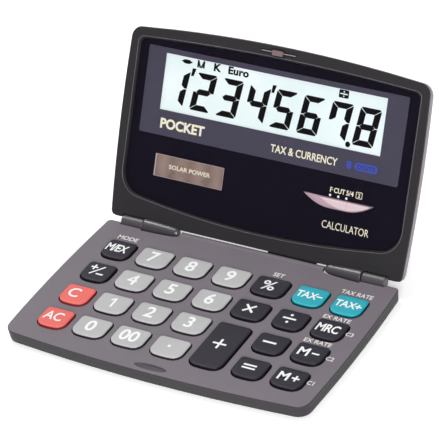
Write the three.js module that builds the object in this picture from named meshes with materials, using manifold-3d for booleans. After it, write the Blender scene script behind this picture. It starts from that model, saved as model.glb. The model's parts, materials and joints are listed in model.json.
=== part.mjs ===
// Folding two-leaf pocket calculator: keyboard leaf, display leaf, 27 press keys,
// a three-position slide switch and the parts inside both leaves.
// Millimetres, +Z up, X along the hinge, +Y to the back. The origin is the middle
// of the keyboard leaf's underside.
import * as THREE from 'three';
import { mergeVertices } from 'three/addons/utils/BufferGeometryUtils.js';
import Module from 'manifold-3d';
const wasm = await Module();
wasm.setup();

// ---------- driving dimensions ----------
const YC = 27.25;            // keyboard leaf back edge, behind the origin
const H = 3.9;               // height of the keyboard deck
const LEAF = 54.475;         // keyboard leaf depth on its centre line
const HW = 44.585;           // keyboard leaf half width at the hinge
const BULGE = 0.862;         // extra half width half way along the leaf
const BOW = 1.995;           // front edge bow, centre to corners
const PART_Z = 2.0;          // parting line between the keyboard covers
const FLOOR = 0.75;          // bottom cover floor
const DECK = 0.9;            // deck skin
const WALL = 1.0;            // cover wall
const AY = 0.775, AZ = 4.0;  // hinge axis from the back edge / the underside
const OPEN = 61.57;          // display leaf direction above horizontal, degrees
const FACE = -0.13;          // display face plane, from the hinge axis
const BACK = -3.93;          // display leaf back plane
const DL = 55.25;            // display leaf depth from the axis
const DHW = 44.654, DBULGE = 0.761, DBOW = 2.265, DTAPER = 0.35;
const D0 = 0.75;             // display leaf lower edge, from the axis
const DPART = -2.3;          // display parting plane
const RECESS = -0.88;        // window lens surface
const LEDGE = -1.52;         // ledge that the window stack lies on
const LIP_R = 0.74;           // rear lip radius about the hinge axis
const BARREL_R = 1.5, BARREL_X0 = 33.7, BARREL_X1 = 40.3;
const BULLET_R = 1.85, BULLET_X0 = 22.5, BULLET_X1 = 33.4;
const PIN_R = 0.5, PIN_HOLE_R = 0.6;
const KEY_TOP = H + 0.7;     // key crowns
const KEY_GAP = 0.33;        // gap between a key and its hole
const TRAVEL = 0.5;          // key travel
const KEY_H = 7.65;
const COLS = [-34.1, -22.85, -11.05, 0.9, 12.75, 24.7, 35.98];
const COLW = [8.5, 9.5, 9.5, 9.5, 9.65, 8.85, 8.85];
const ROWS = [-12.15, -22.8, -33.4, -44.0];
const TALL_H = 18.25;
const FLEX_X0 = 3.7, FLEX_X1 = 18.6;

// ---------- solids ----------
function loft(rings) {
  const n = rings[0].length, pos = [], idx = [];
  for (const r of rings) for (const p of r) pos.push(...p);
  for (let k = 0; k + 1 < rings.length; k++)
    for (let j = 0; j < n; j++) {
      const a = k * n + j, b = k * n + (j + 1) % n, c = a + n, d = b + n;
      idx.push(a, b, d, a, d, c);
    }
  const cap = (k, flip) => {
    const tri = THREE.ShapeUtils.triangulateShape(rings[k].map(p => new THREE.Vector2(p[0], p[1])), []);
    for (const [a, b, c] of tri) flip ? idx.push(k * n + a, k * n + c, k * n + b) : idx.push(k * n + a, k * n + b, k * n + c);
  };
  cap(0, true); cap(rings.length - 1, false);
  const g = new THREE.BufferGeometry();
  g.setAttribute('position', new THREE.Float32BufferAttribute(pos, 3));
  g.setIndex(idx);
  return g;
}
const lift = (pts, z) => pts.map(p => [p[0], p[1], z]);
const ccw = pts => (THREE.ShapeUtils.area(pts.map(p => new THREE.Vector2(p[0], p[1]))) < 0 ? pts.slice().reverse() : pts);
const prism = (pts, z0, z1) => { const q = ccw(pts); return loft([lift(q, z0), lift(q, z1)]); };
const box = (x0, x1, y0, y1, z0, z1) => prism([[x0, y0], [x1, y0], [x1, y1], [x0, y1]], z0, z1);
function circle(cx, cy, r, n = 20) {
  const p = [];
  for (let i = 0; i < n; i++) { const a = 2 * Math.PI * (i + 0.5) / n; p.push([cx + r * Math.cos(a), cy + r * Math.sin(a)]); }
  return p;
}
const disc = (cx, cy, r, z0, z1, n = 20) => prism(circle(cx, cy, r, n), z0, z1);
// A polygon in the YZ plane, pushed along X.
function prismX(yz, x0, x1) {
  const g = prism(yz, x0, x1), p = g.attributes.position;
  for (let i = 0; i < p.count; i++) { const a = p.getX(i), b = p.getY(i), c = p.getZ(i); p.setXYZ(i, c, a, b); }
  return g;
}
// A profile [x, r] turned about the X axis.
function turned(profile, n = 24) {
  const g = new THREE.LatheGeometry(profile.map(([x, r]) => new THREE.Vector2(r, x)), n);
  g.rotateZ(-Math.PI / 2);
  return g;
}
function solid(g) {
  const c = g.clone();
  c.deleteAttribute('normal'); c.deleteAttribute('uv');
  const m = mergeVertices(c, 1e-4), keep = [], ix = m.index.array;
  for (let i = 0; i < ix.length; i += 3)
    if (ix[i] !== ix[i + 1] && ix[i + 1] !== ix[i + 2] && ix[i] !== ix[i + 2]) keep.push(ix[i], ix[i + 1], ix[i + 2]);
  let s = new wasm.Manifold(new wasm.Mesh({ numProp: 3, vertProperties: new Float32Array(m.attributes.position.array), triVerts: new Uint32Array(keep) }));
  if (s.volume() < 0) {
    for (let i = 0; i < keep.length; i += 3) { const t = keep[i]; keep[i] = keep[i + 1]; keep[i + 1] = t; }
    s = new wasm.Manifold(new wasm.Mesh({ numProp: 3, vertProperties: new Float32Array(m.attributes.position.array), triVerts: new Uint32Array(keep) }));
  }
  return s;
}
const cut = (a, list) => list.reduce((s, g) => s.subtract(solid(g)), a);
const join = (a, list) => list.reduce((s, g) => s.add(solid(g)), a);
function geometry(s) {
  const m = s.getMesh(), g = new THREE.BufferGeometry(), p = new Float32Array(m.numVert * 3);
  for (let i = 0; i < m.numVert; i++) for (let k = 0; k < 3; k++) p[3 * i + k] = m.vertProperties[m.numProp * i + k];
  g.setAttribute('position', new THREE.BufferAttribute(p, 3));
  g.setIndex(new THREE.BufferAttribute(new Uint32Array(m.triVerts), 1));
  g.computeVertexNormals();
  return g;
}
function bezier(a, c, b, n) { // rounded corner from a to b about the sharp corner c
  const out = [], k = 0.56, p1 = [a[0] + (c[0] - a[0]) * k, a[1] + (c[1] - a[1]) * k], p2 = [b[0] + (c[0] - b[0]) * k, b[1] + (c[1] - b[1]) * k];
  for (let i = 0; i <= n; i++) {
    const t = i / n, u = 1 - t, w = [u * u * u, 3 * u * u * t, 3 * u * t * t, t * t * t];
    out.push([w[0] * a[0] + w[1] * p1[0] + w[2] * p2[0] + w[3] * b[0], w[0] * a[1] + w[1] * p1[1] + w[2] * p2[1] + w[3] * b[1]]);
  }
  return out;
}
// Leaf outline: near edge at y0 (by the hinge), far edge bowed, sides bulged.
// dir is -1 for the keyboard leaf, which runs to -Y, and 1 for the display leaf.
function leafOutline(dir, hw, bulge, len, bow, y0, inset, farInset, rNear, rFar, taper = 0) {
  const side = v => hw + taper * (v / len) + bulge * 4 * (v / len) * (1 - v / len) - inset;
  const far = x => len - bow * (x / hw) ** 2 - farInset;
  const near = y0 + inset * 0.5;
  const xf = side(len - bow - farInset), cFar = [xf, far(xf)], cNear = [side(near), near];
  const half = [];
  half.push([0, near], [BULLET_X0 - 1, near]);
  half.push(...bezier([cNear[0] - rNear, near], cNear, [side(near + rNear), near + rNear], 3));
  for (let i = 1; i <= 6; i++) { const v = near + rNear + (cFar[1] - rFar - near - rNear) * i / 7; half.push([side(v), v]); }
  half.push(...bezier([side(cFar[1] - rFar), cFar[1] - rFar], cFar, [cFar[0] - rFar, far(cFar[0] - rFar)], 6));
  for (const x of [32, 25, 18, 12, 8, 4, 0]) half.push([x, far(x)]);
  const left = half.slice(1, -1).reverse().map(([x, y]) => [-x, y]);
  const all = half.concat(left).map(([x, y]) => [x, dir * y]);
  return ccw(all);
}
const base = (inset, far = inset * 0.6) => leafOutline(-1, HW, BULGE, LEAF, BOW, 0, inset, far, 0.9, 2.9, 0.3);
const disp = (inset, far = inset) => leafOutline(1, DHW, DBULGE, DL, DBOW, D0, inset, far, 1.4, 2.6, DTAPER);

// Key outline: small radii at the back, large ones at the bowed front edge.
function keyOutline(w, h, grow = 0) {
  const a = w / 2 + grow, t = h / 2 + grow, b = -h / 2 - grow, rt = 1.15 + grow, rb = 2.5 + grow, bow = 0.28;
  const p = [];
  p.push(...bezier([-a + rt, t], [-a, t], [-a, t - rt], 2));
  p.push(...bezier([-a, b + bow + rb], [-a, b + bow], [-a + rb, b + 0.1], 4));
  p.push([0, b]);
  p.push(...bezier([a - rb, b + 0.1], [a, b + bow], [a, b + bow + rb], 4));
  p.push(...bezier([a, t - rt], [a, t], [a - rt, t], 2));
  return ccw(p);
}
const move = (pts, x, y) => pts.map(p => [p[0] + x, p[1] + y]);

const KEYS = [];
const rowNames = [
  ['key_mode', 'key_7', 'key_8', 'key_9', 'key_percent', 'key_tax_minus', 'key_tax_plus'],
  ['key_sign', 'key_4', 'key_5', 'key_6', 'key_multiply', 'key_divide', 'key_mrc'],
  ['key_c', 'key_1', 'key_2', 'key_3', 'key_plus', 'key_minus', 'key_m_minus'],
  ['key_ac', 'key_0', 'key_00', 'key_point', null, 'key_equals', 'key_m_plus'],
];
rowNames.forEach((names, r) => names.forEach((name, c) => {
  if (!name) return;
  const tall = name === 'key_plus', h = tall ? TALL_H : KEY_H;
  const y = tall ? (ROWS[2] + KEY_H / 2) - TALL_H / 2 : ROWS[r];
  const color = /^key_(\d+|point)$/.test(name) ? 0xa5a7a8 : /^key_(c|ac)$/.test(name) ? 0xe86e69 : /^key_tax/.test(name) ? 0x14afb9 : 0x34303c;
  KEYS.push({ name, x: COLS[c], y, w: COLW[c], h, color });
}));

// ---------- assembly helpers ----------
const group = new THREE.Group();
group.name = 'pocket_calculator';
const baseGroup = new THREE.Group();
baseGroup.name = 'keyboard_leaf';
baseGroup.position.set(0, YC, 0);
const dispGroup = new THREE.Group();
dispGroup.name = 'display_leaf';
dispGroup.position.set(0, YC + AY, AZ);
dispGroup.rotation.x = THREE.MathUtils.degToRad(OPEN);
group.add(baseGroup, dispGroup);
function add(parent, name, g, color, roughness = 0.6, metalness = 0) {
  const m = new THREE.Mesh(g instanceof THREE.BufferGeometry ? g : geometry(g), new THREE.MeshStandardMaterial({ color, roughness, metalness }));
  m.name = name;
  parent.add(m);
  return m;
}
const mirror = [1, -1];
const xs = (s, a, b) => (s > 0 ? [a, b] : [-b, -a]);

// ---------- keyboard leaf ----------
const baseScrews = [[40.5, -4.7], [-40.5, -4.7], [38.6, -50.1], [-38.6, -50.1]];
{ // deck and upper side walls
  let s = solid(loft([lift(base(0.14), PART_Z + 0.05), lift(base(0), H - 0.35), lift(base(0.1), H - 0.12), lift(base(0.3), H)]));
  s = s.subtract(solid(prism(base(0.42 + WALL), PART_Z - 0.5, H - DECK)));
  // rear lip between the hinges, rounded about their axis so that the display leaf swings close past it
  const lip = [[-0.8, 3.0], [-0.8, H - 0.02], [-0.15, H], [0.4, H + 0.11], [1.0, H + 0.15], [AY + 0.62, H + 0.15], [AY + LIP_R * 0.94, H + 0.12]];
  for (const a of [0, -12, -25, -40, -55, -70, -90]) lip.push([AY + LIP_R * Math.cos(a * Math.PI / 180), AZ + LIP_R * Math.sin(a * Math.PI / 180)]);
  s = join(s, [prismX(lip, -BULLET_X0 + 0.2, BULLET_X0 - 0.2)]);
  for (const m of mirror) {
    const [nx0, nx1] = xs(m, BULLET_X0 - 1.3, BULLET_X1 + 0.15);
    s = join(s, [box(nx0, nx1, -3.0, -0.35, PART_Z + 0.05, H - 0.3)]);
    const [bx0, bx1] = xs(m, BARREL_X0, BARREL_X1);
    const groove = turned([[bx0 - 0.15, 0], [bx0 - 0.15, BARREL_R + 0.3], [bx1 + 0.15, BARREL_R + 0.3], [bx1 + 0.15, 0]], 28);
    groove.translate(0, AY, AZ);
    s = cut(s, [groove]);
    s = join(s, [box(bx0, bx1, -1.2, AY, AZ - BARREL_R - 0.4, H - 0.8)]);
    const barrel = turned([[bx0, 0], [bx0, BARREL_R - 0.12], [bx0 + 0.15, BARREL_R], [bx1 - 0.15, BARREL_R], [bx1, BARREL_R - 0.12], [bx1, 0]], 28);
    barrel.translate(0, AY, AZ);
    s = join(s, [barrel]);
    const well = [[22.0, 0], [22.0, 1.1], [22.4, 1.35], [22.75, 1.55], [23.6, 1.85], [25.9, 2.06], [29.5, 2.3], [32.9, 2.4], [BULLET_X1 + 0.15, 2.4], [BULLET_X1 + 0.15, 0]];
    const notch = turned(m > 0 ? well : well.map(([x, r]) => [-x, r]).reverse(), 28);
    notch.translate(0, AY, AZ);
    const [hx0, hx1] = xs(m, BARREL_X0 - 0.5, BARREL_X1 - 0.9);
    const hole = turned([[hx0, 0], [hx0, PIN_HOLE_R], [hx1, PIN_HOLE_R], [hx1, 0]], 16);
    hole.translate(0, AY, AZ);
    s = cut(s, [notch, hole]);
  }
  for (const [x, y] of baseScrews) {
    s = join(s, [disc(x, y, 1.35, FLOOR + 0.06, H - DECK + 0.1)]);
    s = cut(s, [disc(x, y, 0.65, FLOOR - 0.2, H - DECK - 0.2, 16)]);
  }
  s = cut(s, KEYS.map(k => prism(move(keyOutline(k.w, k.h, KEY_GAP), k.x, k.y), H - DECK - 0.5, H + 0.5)));
  s = cut(s, [box(FLEX_X0 - 0.4, FLEX_X1 + 0.4, -2.2, 0.6, PART_Z - 0.2, H - DECK - 0.05)]);
  const dimple = circle(0, 0, 1, 24).map(([x, y]) => [x * 5.0, y * 1.15 - 52.3]);
  s = cut(s, [loft([lift(dimple.map(([x, y]) => [x * 0.8, (y + 52.3) * 0.85 - 52.3]), H - 0.5), lift(dimple, H + 0.05)])]);
  add(baseGroup, 'keyboard_top_cover', s, 0x7d767d, 0.55);
}
{ // bottom cover
  let s = solid(loft([lift(base(0.6, 0.57), 0), lift(base(0.32, 0.33), 0.25), lift(base(0.22, 0.24), 0.6), lift(base(0.14, 0.12), PART_Z)]));
  s = s.subtract(solid(prism(base(0.47 + WALL + 0.5), FLOOR, PART_Z + 0.5)));
  for (const [x, y] of baseScrews) s = cut(s, [disc(x, y, 1.35, -0.5, 0.5), disc(x, y, 0.8, 0.3, 1.5, 16)]);
  add(baseGroup, 'keyboard_bottom_cover', s, 0x4a464a, 0.6);
}
baseScrews.forEach(([x, y], i) => {
  const head = solid(disc(x, y, 1.2, 0.06, 0.44));
  add(baseGroup, `keyboard_screw_${i + 1}`, cut(join(head, [disc(x, y, 0.52, 0.3, 2.4, 12)]), [box(x - 0.75, x + 0.75, y - 0.14, y + 0.14, -0.2, 0.24), box(x - 0.14, x + 0.14, y - 0.75, y + 0.75, -0.2, 0.24)]), 0x8a8a8e, 0.35, 1);
});
{ // keyboard circuit board
  let s = solid(box(-39.4, 40.9, -49.0, -2.6, FLOOR + 0.08, FLOOR + 0.56));
  s = cut(s, baseScrews.map(([x, y]) => disc(x, y, 1.65, 0, 2)));
  add(baseGroup, 'keyboard_circuit_board', s, 0x2f6b3a, 0.5);
}
{ // one-piece rubber key mat with a dome under every key
  let s = solid(box(-39.2, 40.8, -48.6, -7.6, FLOOR + 0.6, FLOOR + 0.95));
  for (const k of KEYS) {
    const ys = k.h > 10 ? [k.y - 5, k.y + 5] : [k.y];
    for (const y of ys) s = join(s, [loft([lift(circle(k.x, y, 2.6, 8), FLOOR + 0.9), lift(circle(k.x, y, 1.9, 8), 2.0)])]);
  }
  add(baseGroup, 'key_mat', s, 0x9aa0a2, 0.9);
}
for (const k of KEYS) { // key caps, each with a flange under the deck
  const o = g => move(keyOutline(k.w, k.h, g), k.x, k.y);
  const z0 = 2.0 + TRAVEL + 0.05;
  add(baseGroup, k.name, loft([
    lift(o(0.55), z0), lift(o(0.55), H - DECK - 0.06), lift(o(0), H - DECK - 0.06),
    lift(o(-0.04), KEY_TOP - 0.32), lift(o(-0.4), KEY_TOP),
  ]), k.color, 0.55);
}
mirror.forEach(m => { // hinge pins
  const [x0, x1] = xs(m, 25.3, BARREL_X1 - 1.1);
  const g = turned([[x0, 0], [x0, PIN_R], [x1, PIN_R], [x1, 0]], 16);
  g.translate(0, AY, AZ);
  add(baseGroup, m > 0 ? 'hinge_pin_right' : 'hinge_pin_left', solid(g), 0xc0c0c4, 0.3, 1);
});

// ---------- flexible cable between the leaves ----------
{
  const th = THREE.MathUtils.degToRad(OPEN), c = Math.cos(th), sn = Math.sin(th);
  const local = ([v, z]) => [AY + v * c - z * sn, AZ + v * sn + z * c];
  const path = [[-6.2, 1.45], [-3.6, 1.46], [-2.1, 1.88], [-1.0, 2.38], [0.2, 2.62], [1.4, 2.78], [2.6, 3.05], local([1.1, -2.80]), local([2.2, -2.84]), local([4.2, -2.96]), local([8.4, -2.96])];
  const curve = new THREE.CatmullRomCurve3(path.map(([y, z]) => new THREE.Vector3(y, z, 0)), false, 'centripetal');
  const n = 34, t = 0.06, a = [], b = [];
  for (let i = 0; i <= n; i++) {
    const p = curve.getPoint(i / n), q = curve.getTangent(i / n);
    a.push([p.x - q.y * t, p.y + q.x * t]); b.push([p.x + q.y * t, p.y - q.x * t]);
  }
  add(baseGroup, 'flex_cable', solid(prismX(a.concat(b.reverse()), FLEX_X0, FLEX_X1)), 0x2a2624, 0.5);
}

// ---------- display leaf ----------
const dispScrews = [[39.3, 9.8], [-39.3, 9.8], [39.3, 46.5], [-39.3, 46.5]];
const CELL = [-2.5, 12.5], CELL_R = 6.25;
const LCD = [-36.5, 36.5, 29.9, 49.1];
const LCD_VIEW = [-34.3, 32.8, 31.95, 47.3];
const SOLAR_VIEW = [-33.25, -12.35, 13.95, 19.75];
const KNOB = { cx: 25.05, half: 7.85, top: 18.35, drop: 2.5, travel: 4.7 };
function windowOutline(g) {
  const w = 42.3 + g, rt = 1.6, top = x => 51.65 + g - 1.4 * (x / 42.3) ** 2, bot = x => 4.9 - g + 2.75 * (x / 37) ** 2, half = [[0, bot(0)], [9, bot(9)], [18, bot(18)], [27, bot(27)], [34, bot(34)]];
  half.push(...bezier([37 + g * 0.6, bot(37)], [w - 0.15, bot(40.5)], [w, 14.0 - g * 0.5], 7));
  half.push([w, 30]);
  half.push(...bezier([w, top(w) - rt], [w, top(w)], [w - rt, top(w - rt)], 3));
  for (const x of [33, 25, 17, 9, 0]) half.push([x, top(x)]);
  const left = half.slice(1, -1).reverse().map(([x, y]) => [-x, y]);
  return ccw(half.concat(left));
}
function crescent(g, sweep) { // straight top edge, arc below; swept to -X by sweep
  const { cx, half, top, drop } = KNOB, p = [], n = 9;
  const hw = half + g * 2.2;
  for (let i = 0; i <= n; i++) { const t = i / n, x = -hw * (1 - t); p.push([cx - sweep + x, top + g - (drop + 2 * g) * (1 - (x / hw) ** 2)]); }
  for (let i = sweep > 0 ? 0 : 1; i <= n; i++) { const t = i / n, x = hw * t; p.push([cx + x, top + g - (drop + 2 * g) * (1 - (x / hw) ** 2)]); }
  return ccw(p);
}
const clawNub = g => [[-1.75 - g, 52.6 - g], [1.35 + g, 52.6 - g], [1.35 + g, 54.0 + g], [-1.75 - g, 54.0 + g]];
{ // front frame with the window recess, hinge knuckles and screw bosses
  let s = solid(loft([lift(disp(0.3), DPART), lift(disp(0), FACE - 0.45), lift(disp(0.1), FACE - 0.15), lift(disp(0.35), FACE)]));
  s = s.subtract(solid(loft([lift(windowOutline(0), LEDGE), lift(windowOutline(0), FACE - 0.5), lift(windowOutline(0.35), FACE + 0.05)])));
  for (const m of mirror) {
    const [nx0, nx1] = xs(m, BARREL_X0 - 0.15, BARREL_X1 + 0.35);
    s = cut(s, [turned([[nx0, 0], [nx0, BARREL_R + 0.3], [nx1, BARREL_R + 0.3], [nx1, 0]], 28)]);
    const [wx0, wx1] = xs(m, BULLET_X0 + 1.2, BULLET_X1);
    s = join(s, [prismX([[0, -1.7], [0, -0.2], [1.9, -0.2], [1.9, -2.1], [0.9, -2.1]], wx0, wx1)]);
    const prof = [[BULLET_X0, 0], [BULLET_X0, 0.7], [BULLET_X0 + 0.25, 1.0], [BULLET_X0 + 1.1, 1.3], [BULLET_X0 + 3.4, 1.5], [BULLET_X0 + 7, 1.74], [BULLET_X1 - 0.5, BULLET_R], [BULLET_X1 - 0.15, BULLET_R], [BULLET_X1, BULLET_R - 0.12], [BULLET_X1, 0]];
    s = join(s, [turned(m > 0 ? prof : prof.map(([x, r]) => [-x, r]).reverse(), 28)]);
    const [hx0, hx1] = xs(m, 25.0, BULLET_X1 + 0.5);
    s = cut(s, [turned([[hx0, 0], [hx0, PIN_HOLE_R], [hx1, PIN_HOLE_R], [hx1, 0]], 16)]);
  }
  for (const [x, y] of dispScrews) {
    s = join(s, [disc(x, y, 1.3, -3.27, DPART + 0.2)]);
    s = cut(s, [disc(x, y, 0.65, -4, -1.8, 16)]);
  }
  s = cut(s, [
    box(LCD[0] - 0.3, LCD[1] + 0.3, LCD[2] - 0.3, LCD[3] + 0.3, -4, 0),
    box(-34.2, -11.4, 13.0, 20.7, -4, 0),
    box(6.2, 39.0, 14.6, 19.6, -4, 0),
    disc(CELL[0], CELL[1], CELL_R + 0.3, -4, -1.86, 28),
    prism(clawNub(0.12), -1.4, 0.5),
    box(-5.3, 5.2, 53.2, 53.6, -0.75, 0.5),
  ]);
  add(dispGroup, 'display_frame', s, 0x38373a, 0.5);
}
{ // rear cover
  let s = solid(loft([lift(disp(1.5), BACK), lift(disp(1.0), BACK + 0.22), lift(disp(0.7), BACK + 0.55), lift(disp(0.34), DPART - 0.05)]));
  s = s.subtract(solid(prism(disp(0.34 + WALL + 0.4), BACK + 0.6, DPART + 0.5)));
  for (const [x, y] of dispScrews) s = cut(s, [disc(x, y, 1.25, BACK - 0.5, BACK + 0.46), disc(x, y, 0.8, BACK, BACK + 1, 16)]);
  s = cut(s, [box(FLEX_X0 - 0.4, FLEX_X1 + 0.4, -0.5, 3.2, -3.25, DPART + 0.5)]);
  add(dispGroup, 'display_rear_cover', s, 0x6c686d, 0.55);
}
dispScrews.forEach(([x, y], i) => {
  const head = solid(disc(x, y, 1.1, BACK + 0.06, BACK + 0.42));
  add(dispGroup, `display_screw_${i + 1}`, cut(join(head, [disc(x, y, 0.52, BACK + 0.3, -1.95, 12)]), [box(x - 0.7, x + 0.7, y - 0.14, y + 0.14, BACK - 0.2, BACK + 0.23), box(x - 0.14, x + 0.14, y - 0.7, y + 0.7, BACK - 0.2, BACK + 0.23)]), 0x8a8a8e, 0.35, 1);
});
const slot = g => crescent(g, KNOB.travel);
add(dispGroup, 'window_lens', cut(solid(prism(windowOutline(-0.12), -1.33, RECESS)), [prism(slot(0.22), -2, 0)]), 0x20202a, 0.08);
add(dispGroup, 'window_print_film', cut(solid(prism(windowOutline(-0.12), -1.48, -1.37)), [
  prism(slot(0.22), -2, 0),
  box(LCD_VIEW[0], LCD_VIEW[1], LCD_VIEW[2], LCD_VIEW[3], -2, 0),
  box(SOLAR_VIEW[0], SOLAR_VIEW[1], SOLAR_VIEW[2], SOLAR_VIEW[3], -2, 0),
]), 0x1e1a26, 0.25);
add(dispGroup, 'lcd_glass', box(LCD[0], LCD[1], LCD[2], LCD[3], -2.55, -1.55), 0xe8f4f3, 0.15);
add(dispGroup, 'lcd_reflector', box(LCD[0] + 1, LCD[1] - 1, LCD[2] + 2.4, LCD[3] - 0.5, -2.7, -2.6), 0xd8dada, 0.4, 0.6);
add(dispGroup, 'heat_seal_ribbon', solid(prismX([[32.0, -2.6], [32.0, -2.7], [30.7, -2.72], [29.8, -2.98], [26.3, -2.98], [26.3, -2.9], [29.6, -2.9], [30.5, -2.62]], -30, 30)), 0x8a6a3a, 0.5);
add(dispGroup, 'solar_cell', box(-33.9, -11.7, 13.3, 20.4, -2.4, -1.55), 0x7d6964, 0.2);
{
  let s = solid(box(-37.4, 37.4, 5.6, 29.0, -2.86, -2.46));
  s = cut(s, [disc(CELL[0], CELL[1], CELL_R + 0.35, -4, 0, 28)]);
  add(dispGroup, 'main_circuit_board', s, 0x2f6b3a, 0.5);
}
add(dispGroup, 'chip_blob', loft([lift(circle(22, 21.5, 1.6, 20), -3.26), lift(circle(22, 21.5, 3.2, 20), -3.16), lift(circle(22, 21.5, 4.0, 20), -2.9)]), 0x141414, 0.35);
add(dispGroup, 'button_cell', loft([lift(circle(...CELL, CELL_R, 32), -3.27), lift(circle(...CELL, CELL_R, 32), -2.1), lift(circle(...CELL, CELL_R - 0.9, 32), -2.1), lift(circle(...CELL, CELL_R - 0.9, 32), -1.9)]), 0xc8c8cc, 0.25, 1);
{ // spring clip beside the cell
  const p = [];
  for (let i = 0; i <= 8; i++) { const a = Math.PI * (0.62 + 0.36 * i / 8); p.push([CELL[0] + (CELL_R + 0.08) * Math.cos(a), CELL[1] + (CELL_R + 0.08) * Math.sin(a)]); }
  for (let i = 8; i >= 0; i--) { const a = Math.PI * (0.62 + 0.36 * i / 8); p.push([CELL[0] + (CELL_R + 0.26) * Math.cos(a), CELL[1] + (CELL_R + 0.26) * Math.sin(a)]); }
  add(dispGroup, 'cell_clip', prism(p, -3.25, -2.35), 0xd8c28a, 0.3, 1);
}
{ // slide switch: crescent finger piece on a flange, and its wiper
  const flange = solid(box(11.3, 38.3, 15.0, 19.2, -1.95, -1.55));
  add(dispGroup, 'switch_knob', join(flange, [loft([lift(crescent(0, 0), -1.7), lift(crescent(0, 0), -0.86), lift(crescent(-0.12, 0), -0.75)])]), 0xebd7e1, 0.45);
  add(dispGroup, 'switch_wiper', box(22, 28, 16.3, 17.9, -2.42, -1.99), 0xd8b45a, 0.3, 1);
}
{ // latch claw: a nub on a thin cross bar
  let s = solid(prism(clawNub(0), -1.3, 0.35));
  s = join(s, [box(-5.15, 5.05, 53.3, 53.5, -0.65, FACE + 0.04)]);
  add(dispGroup, 'latch_claw', s, 0x5a5052, 0.5);
}

export default group;
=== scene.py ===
import json
import math

import bmesh
import bpy
from mathutils import Matrix, Vector, geometry

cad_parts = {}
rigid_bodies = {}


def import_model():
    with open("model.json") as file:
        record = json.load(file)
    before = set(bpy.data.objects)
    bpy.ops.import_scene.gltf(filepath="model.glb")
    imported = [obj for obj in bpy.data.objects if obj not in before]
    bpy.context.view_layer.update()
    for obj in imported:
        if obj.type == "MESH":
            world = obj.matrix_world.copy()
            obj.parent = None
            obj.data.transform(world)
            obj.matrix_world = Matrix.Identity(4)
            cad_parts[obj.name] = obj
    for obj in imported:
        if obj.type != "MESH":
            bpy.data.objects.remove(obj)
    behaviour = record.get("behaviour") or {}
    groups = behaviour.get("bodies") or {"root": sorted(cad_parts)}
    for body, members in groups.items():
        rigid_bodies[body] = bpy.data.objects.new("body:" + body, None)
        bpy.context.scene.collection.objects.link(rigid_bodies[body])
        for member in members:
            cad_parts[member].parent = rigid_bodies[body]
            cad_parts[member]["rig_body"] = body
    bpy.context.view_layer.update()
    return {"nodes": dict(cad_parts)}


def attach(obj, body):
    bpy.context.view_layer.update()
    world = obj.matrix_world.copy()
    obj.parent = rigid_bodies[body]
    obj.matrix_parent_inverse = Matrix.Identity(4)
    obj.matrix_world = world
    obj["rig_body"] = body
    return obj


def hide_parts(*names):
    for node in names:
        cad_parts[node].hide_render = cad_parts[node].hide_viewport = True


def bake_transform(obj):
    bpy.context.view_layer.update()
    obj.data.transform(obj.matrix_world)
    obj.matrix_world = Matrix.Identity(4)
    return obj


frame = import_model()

MM = 0.001
NODES = frame["nodes"]

# ---------------------------------------------------------------- dimensions (mm)
YC, H = 27.25, 3.9
AY, AZ, OPEN = 0.775, 4.0, 61.57
KEY_TOP = H + 0.7
COLS = [-34.1, -22.85, -11.05, 0.9, 12.75, 24.7, 35.98]
COLW = [8.5, 9.5, 9.5, 9.5, 9.65, 8.85, 8.85]
ROWS = [-12.15, -22.8, -33.4, -44.0]
KEY_H, TALL_H = 7.65, 18.25
LENS, FILM = -0.88, -1.37
FACE = -0.13
LCD_VIEW = (-34.3, 32.8, 31.95, 47.3)
SOLAR_VIEW = (-33.25, -12.35, 13.95, 19.75)

BASE = Matrix.Translation((0, YC * MM, 0)) @ Matrix.Scale(MM, 4)
DISP = Matrix.Translation((0, (YC + AY) * MM, AZ * MM)) @ Matrix.Rotation(math.radians(OPEN), 4, "X") @ Matrix.Scale(MM, 4)


# ---------------------------------------------------------------- materials
def new_material(name):
    m = bpy.data.materials.new(name)
    m.use_nodes = True
    nt = m.node_tree
    nt.nodes.clear()
    out = nt.nodes.new("ShaderNodeOutputMaterial")
    bsdf = nt.nodes.new("ShaderNodeBsdfPrincipled")
    nt.links.new(bsdf.outputs["BSDF"], out.inputs["Surface"])
    coord = nt.nodes.new("ShaderNodeTexCoord")
    return m, nt, bsdf, coord, out


def noise(nt, coord, scale, detail=2.0, rough=0.5):
    n = nt.nodes.new("ShaderNodeTexNoise")
    n.inputs["Scale"].default_value = scale
    n.inputs["Detail"].default_value = detail
    n.inputs["Roughness"].default_value = rough
    nt.links.new(coord.outputs["Object"], n.inputs["Vector"])
    return n


def ramp(nt, source, stops):
    r = nt.nodes.new("ShaderNodeValToRGB")
    r.color_ramp.elements[0].position, r.color_ramp.elements[1].position = stops[0][0], stops[-1][0]
    r.color_ramp.elements[0].color, r.color_ramp.elements[1].color = (*stops[0][1], 1), (*stops[-1][1], 1)
    for p, c in stops[1:-1]:
        e = r.color_ramp.elements.new(p)
        e.color = (*c, 1)
    nt.links.new(source, r.inputs["Fac"])
    return r


def value_map(nt, source, lo, hi):
    m = nt.nodes.new("ShaderNodeMapRange")
    m.inputs["To Min"].default_value, m.inputs["To Max"].default_value = lo, hi
    nt.links.new(source, m.inputs["Value"])
    return m


def lin(c):
    return tuple(((x / 255) / 12.92 if x / 255 <= 0.04045 else ((x / 255 + 0.055) / 1.055) ** 2.4) for x in c)


def shade(c, k):
    return tuple(min(1, x * k) for x in c)


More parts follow.
